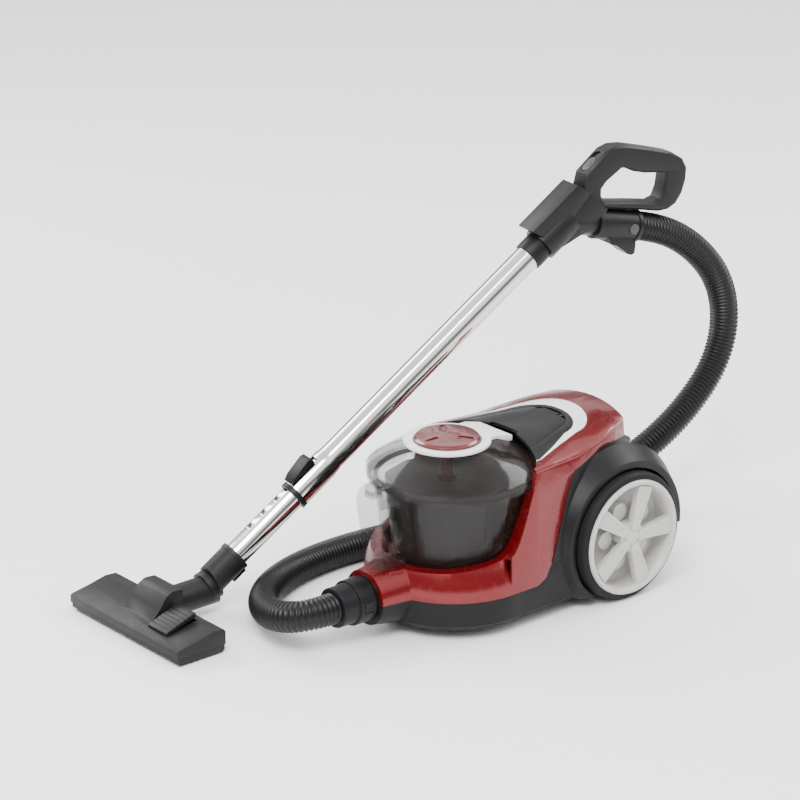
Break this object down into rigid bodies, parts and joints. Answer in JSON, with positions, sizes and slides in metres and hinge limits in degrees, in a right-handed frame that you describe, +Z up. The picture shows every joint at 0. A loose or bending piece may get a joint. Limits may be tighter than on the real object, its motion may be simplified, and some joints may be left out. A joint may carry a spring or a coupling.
{
  "type": "canister vacuum cleaner",
  "caption": "bagless canister vacuum cleaner with lift-out clear dust cup, large rear wheels, flexible hose and telescopic chrome wand with floor head",
  "frame": {"origin": "on the floor under the middle of the object's bounding box, hose left out", "axes": "X across the canister, +X to its right wheel; front of the canister and floor head toward -Y; +Z up"},
  "size_m": [0.4536, 0.984, 0.5409],
  "materials": {
    "red_shell": "metallic cherry red, high gloss",
    "black_plastic": "satin black moulded plastic",
    "dark_panel": "satin charcoal plastic",
    "white_trim": "satin white plastic",
    "wheel_grey": "satin warm light grey plastic",
    "tyre_rubber": "matt black rubber",
    "steel_pin": "plain steel",
    "clear_cup": "smoky transparent plastic",
    "knob_red": "dark metallic red",
    "inner_dark": "matt dark plastic",
    "mesh": "fine mesh",
    "filter_cloth": "pleated filter fabric",
    "motor_metal": "plain motor can",
    "chrome_tube": "mirror chrome",
    "handle_grey": "satin charcoal plastic",
    "light_grey": "satin mid grey plastic",
    "head_dark": "matt dark grey plastic",
    "hose_black": "black corrugated flexible plastic",
    "bristle": "short dark bristles"
  },
  "bodies": {
    "canister": {"chassis_base": "black_plastic", "rear_housing": "black_plastic", "side_frame": "red_shell", "top_cover": "red_shell", "trim_band": "white_trim", "top_panel": "dark_panel", "handle_pin": "steel_pin", "body_screws": "steel_pin", "wheel_axles": "steel_pin", "cup_tray": "inner_dark", "inlet_socket": "inner_dark", "motor_case": "motor_metal", "motor_mounts": "tyre_rubber", "motor_filter": "filter_cloth", "reel_frame": "inner_dark", "exhaust_filter": "filter_cloth", "cord_outlet": "black_plastic", "hose": "hose_black", "upper_tube": "chrome_tube", "tube_ring": "black_plastic", "tube_collar": "black_plastic", "handle_body": "handle_grey", "handle_grip": "handle_grey", "handle_top": "handle_grey"},
    "carry_handle": {"carry_handle": "dark_panel"},
    "right_wheel": {"wheel_rim_right": "wheel_grey", "tyre_right": "tyre_rubber"},
    "left_wheel": {"wheel_rim_left": "wheel_grey", "tyre_left": "tyre_rubber"},
    "caster_fork": {"caster_fork": "black_plastic"},
    "caster_wheel": {"caster_wheel": "tyre_rubber"},
    "dust_cup": {"dust_cup": "clear_cup"},
    "cup_button": {"cup_button": "clear_cup"},
    "lid": {"cup_lid": "clear_cup", "lid_seal": "tyre_rubber", "lid_ring": "white_trim", "cyclone_shroud": "inner_dark", "mesh_filter": "mesh"},
    "lid_knob": {"lid_knob": "knob_red"},
    "exhaust_cover": {"exhaust_cover": "black_plastic"},
    "power_pedal": {"power_pedal": "light_grey"},
    "rewind_pedal": {"rewind_pedal": "light_grey"},
    "motor_fan": {"motor_fan": "inner_dark"},
    "cord_reel": {"cord_reel": "inner_dark"},
    "hose_connector": {"hose_connector": "black_plastic"},
    "connector_button_right": {"connector_button_right": "black_plastic"},
    "connector_button_left": {"connector_button_left": "black_plastic"},
    "hose_cuff": {"hose_cuff": "handle_grey", "cuff_pins": "light_grey"},
    "suction_slider": {"suction_slider": "light_grey"},
    "latch_slider": {"latch_slider": "black_plastic"},
    "lower_tube": {"lower_tube": "chrome_tube", "tube_cuff": "head_dark"},
    "elbow": {"elbow": "head_dark"},
    "floor_head": {"head_upper": "head_dark", "sole_plate": "head_dark", "head_axles": "steel_pin"},
    "brush_strip": {"brush_strip": "bristle"},
    "foot_pedal": {"foot_pedal": "head_dark"},
    "head_wheels": {"head_wheels": "tyre_rubber"}
  },
  "joints": [
    {"name": "carry_handle_hinge", "type": "hinge", "parent": "canister", "child": "carry_handle", "pos_m": [0.08675, 0.12495, 0.229], "axis": [-1, 0, 0], "range_deg": [0, 70]},
    {"name": "right_wheel_turn", "type": "hinge", "parent": "canister", "child": "right_wheel", "pos_m": [0.08675, 0.14545, 0.088], "axis": [1, 0, 0], "continuous": true},
    {"name": "left_wheel_turn", "type": "hinge", "parent": "canister", "child": "left_wheel", "pos_m": [0.08675, 0.14545, 0.088], "axis": [1, 0, 0], "continuous": true},
    {"name": "caster_swivel", "type": "hinge", "parent": "canister", "child": "caster_fork", "pos_m": [0.08675, -0.11655, 0.03], "axis": [0, 0, 1], "continuous": true},
    {"name": "caster_wheel_turn", "type": "hinge", "parent": "caster_fork", "child": "caster_wheel", "pos_m": [0.08675, -0.10755, 0.013], "axis": [1, 0, 0], "continuous": true},
    {"name": "cup_lift", "type": "slide", "parent": "canister", "child": "dust_cup", "axis": [0, 0, 1], "range_m": [0, 0.16]},
    {"name": "cup_button_press", "type": "slide", "parent": "dust_cup", "child": "cup_button", "axis": [0, 0, -1], "range_m": [0, 0.003], "stiffness_N_per_m": 300, "springref_m": -0.001},
    {"name": "lid_lift", "type": "slide", "parent": "dust_cup", "child": "lid", "axis": [0, 0, 1], "range_m": [0, 0.12]},
    {"name": "lid_knob_turn", "type": "hinge", "parent": "lid", "child": "lid_knob", "pos_m": [0.08675, -0.06055, 0.2345], "axis": [0, 0, 1], "range_deg": [0, 45]},
    {"name": "exhaust_cover_pull", "type": "slide", "parent": "canister", "child": "exhaust_cover", "axis": [0, 1, 0], "range_m": [0, 0.06]},
    {"name": "power_pedal_press", "type": "slide", "parent": "canister", "child": "power_pedal", "axis": [0, 0, -1], "range_m": [0, 0.008], "stiffness_N_per_m": 500, "springref_m": -0.002},
    {"name": "rewind_pedal_press", "type": "slide", "parent": "canister", "child": "rewind_pedal", "axis": [0, 0, -1], "range_m": [0, 0.008], "stiffness_N_per_m": 500, "springref_m": -0.002},
    {"name": "motor_fan_turn", "type": "hinge", "parent": "canister", "child": "motor_fan", "pos_m": [0.05275, 0.06145, 0.096], "axis": [0, 1, 0], "continuous": true},
    {"name": "cord_reel_turn", "type": "hinge", "parent": "canister", "child": "cord_reel", "pos_m": [0.11875, 0.13145, 0.096], "axis": [1, 0, 0], "continuous": true},
    {"name": "hose_connector_turn", "type": "hinge", "parent": "canister", "child": "hose_connector", "pos_m": [0.08675, -0.19955, 0.055], "axis": [0, 1, 0], "continuous": true},
    {"name": "connector_button_right_press", "type": "slide", "parent": "hose_connector", "child": "connector_button_right", "axis": [-1, 0, 0], "range_m": [0, 0.0015], "stiffness_N_per_m": 300, "springref_m": -0.001},
    {"name": "connector_button_left_press", "type": "slide", "parent": "hose_connector", "child": "connector_button_left", "axis": [1, 0, 0], "range_m": [0, 0.0015], "stiffness_N_per_m": 300, "springref_m": -0.001},
    {"name": "hose_cuff_turn", "type": "hinge", "parent": "canister", "child": "hose_cuff", "pos_m": [-0.01781, 0.2926, 0.43447], "axis": [0.1437, 0.9675, -0.2079], "range_deg": [-25, 25]},
    {"name": "suction_slide", "type": "slide", "parent": "canister", "child": "suction_slider", "axis": [0.1137, 0.7656, 0.6332], "range_m": [0, 0.01]},
    {"name": "latch_press", "type": "slide", "parent": "canister", "child": "latch_slider", "axis": [0.1188, 0.7994, 0.5889], "range_m": [0, 0.0055], "stiffness_N_per_m": 300, "springref_m": -0.001},
    {"name": "tube_extend", "type": "slide", "parent": "canister", "child": "lower_tube", "axis": [-0.1188, -0.7994, -0.5889], "range_m": [0, 0.22]},
    {"name": "elbow_swivel", "type": "hinge", "parent": "lower_tube", "child": "elbow", "pos_m": [-0.10875, -0.30055, 0.036], "axis": [0.0626, 0.9485, 0.3104], "range_deg": [-60, 60]},
    {"name": "head_tilt", "type": "hinge", "parent": "elbow", "child": "floor_head", "pos_m": [-0.10875, -0.38655, 0.028], "axis": [1, 0, 0], "range_deg": [-12, 10]},
    {"name": "foot_pedal_press", "type": "hinge", "parent": "floor_head", "child": "foot_pedal", "pos_m": [-0.05275, -0.42655, 0.0255], "axis": [-1, 0, 0], "range_deg": [0, 5]},
    {"name": "brush_lower", "type": "slide", "parent": "floor_head", "child": "brush_strip", "axis": [0, 0, -1], "range_m": [0, 0.0024]},
    {"name": "head_wheels_turn", "type": "hinge", "parent": "floor_head", "child": "head_wheels", "pos_m": [-0.10875, -0.37455, 0.008], "axis": [1, 0, 0], "continuous": true}
  ],
  "couplings": [
    {"joint": "brush_lower", "follows": "foot_pedal_press", "m_per_rad": 0.0275}
  ]
}
